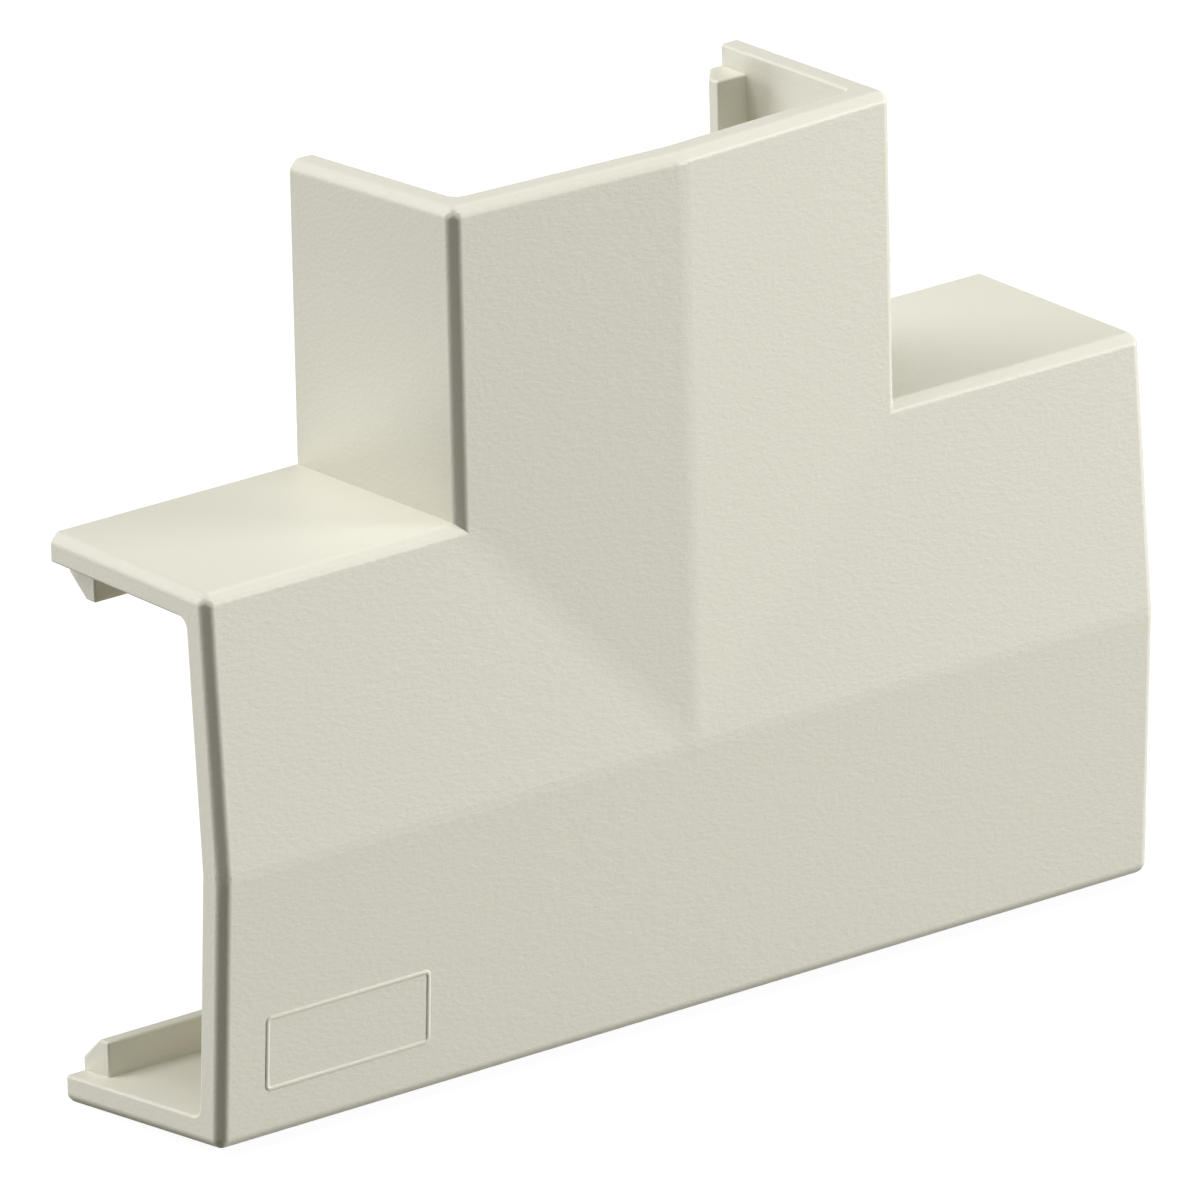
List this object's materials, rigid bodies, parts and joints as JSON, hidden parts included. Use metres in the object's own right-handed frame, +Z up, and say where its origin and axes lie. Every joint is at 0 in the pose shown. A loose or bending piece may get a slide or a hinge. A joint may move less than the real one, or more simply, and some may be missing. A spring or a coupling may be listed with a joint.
{
  "type": "raceway tee cover",
  "caption": "One-piece moulded tee cover for a surface raceway: crowned open-backed run with a branch rising from its middle, and snap ribs inside along the wall edges.",
  "frame": {"origin": "middle of the part's length and depth, at the height of the lower side wall's wall edge", "axes": "+X along the run, +Z up the branch, +Y towards the wall that the open back faces"},
  "size_m": [0.0944, 0.0196, 0.0705],
  "materials": {
    "ivory_plastic": "fine moulded grain on the front, satin on the sides"
  },
  "bodies": {
    "root": {"tee_cover": "ivory_plastic"}
  },
  "joints": []
}
